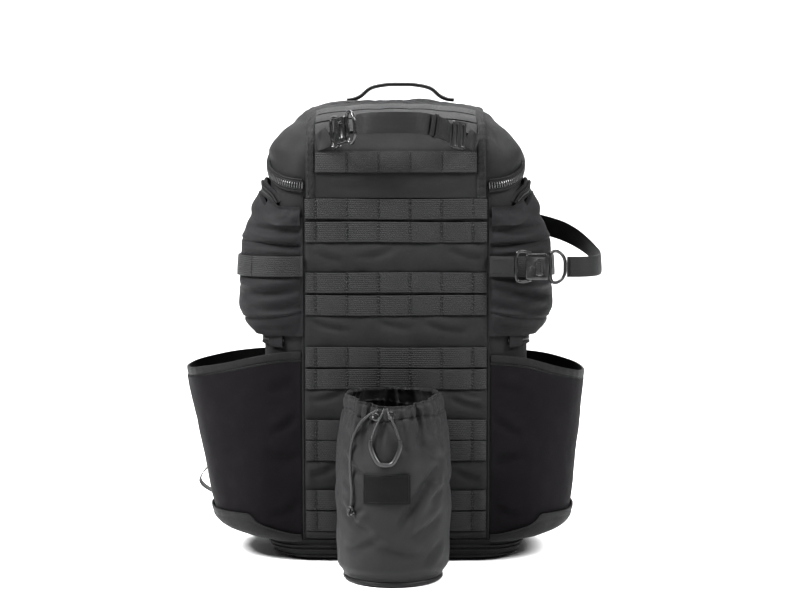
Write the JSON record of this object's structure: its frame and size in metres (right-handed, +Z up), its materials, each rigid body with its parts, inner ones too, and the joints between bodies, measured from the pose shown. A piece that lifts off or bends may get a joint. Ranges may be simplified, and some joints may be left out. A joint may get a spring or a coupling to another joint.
{
  "type": "camera backpack",
  "caption": "Upright padded backpack with a domed zipped lid, a front of webbing rows, side doors and stretch pockets, a hung drawstring cup and two buckled straps.",
  "frame": {"origin": "centre of the flat base of the main body, on the ground that the bag stands on", "axes": "+Z up, +Y towards the wearer's back, +X to the right of someone who faces the webbing"},
  "size_m": [0.4678, 0.3928, 0.5328],
  "materials": {
    "shell_cloth": "matt woven nylon",
    "webbing": "ribbed woven webbing",
    "zip_tape": "zip tape with coated teeth",
    "stretch_cloth": "smooth stretch knit",
    "cup_cloth": "thin coated nylon with a low sheen",
    "label_cloth": "flat woven, bare",
    "padding_cloth": "padded mesh cloth",
    "cord": "braided cord",
    "plastic": "moulded, low sheen",
    "dark_metal": "black coated, semi-gloss"
  },
  "bodies": {
    "root": {"main_body": "shell_cloth", "lid": "shell_cloth", "front_panel": "shell_cloth", "lid_panel": "shell_cloth", "side_door_left": "shell_cloth", "side_door_right": "shell_cloth", "pocket_boot_left": "shell_cloth", "pocket_boot_right": "shell_cloth", "cup_base": "shell_cloth", "back_panel": "shell_cloth", "webbing_row_01": "webbing", "webbing_row_02": "webbing", "webbing_row_03": "webbing", "webbing_row_04": "webbing", "webbing_row_05": "webbing", "webbing_row_06": "webbing", "webbing_row_07": "webbing", "webbing_row_08": "webbing", "webbing_row_09": "webbing", "webbing_row_10": "webbing", "lid_row_1": "webbing", "lid_row_2": "webbing", "lid_row_3": "webbing", "lid_row_4": "webbing", "door_webbing_left": "webbing", "door_webbing_right": "webbing", "side_strap": "webbing", "side_strap_tab": "webbing", "top_strap": "webbing", "strap_tab_left": "webbing", "strap_tab_right": "webbing", "top_handle": "webbing", "cup_tab": "webbing", "shoulder_webbing_left": "webbing", "shoulder_webbing_right": "webbing", "pocket_rim_left": "webbing", "pocket_rim_right": "webbing", "lid_zipper": "zip_tape", "door_zipper_left": "zip_tape", "door_zipper_right": "zip_tape", "side_pocket_left": "stretch_cloth", "side_pocket_right": "stretch_cloth", "cup": "cup_cloth", "cup_patch": "label_cloth", "back_pad": "padding_cloth", "shoulder_pad_left": "padding_cloth", "shoulder_pad_right": "padding_cloth", "drawcord": "cord", "drawcord_knot": "cord", "hook_cord": "cord", "cup_hook": "plastic", "zip_pull_left": "plastic", "zip_pull_right": "plastic", "top_ladder_lock": "plastic", "ladder_lock_left": "plastic", "ladder_lock_right": "plastic", "side_buckle_plate": "dark_metal", "side_buckle_ring": "dark_metal", "top_buckle_plate": "dark_metal", "top_buckle_ring": "dark_metal"}
  },
  "joints": []
}
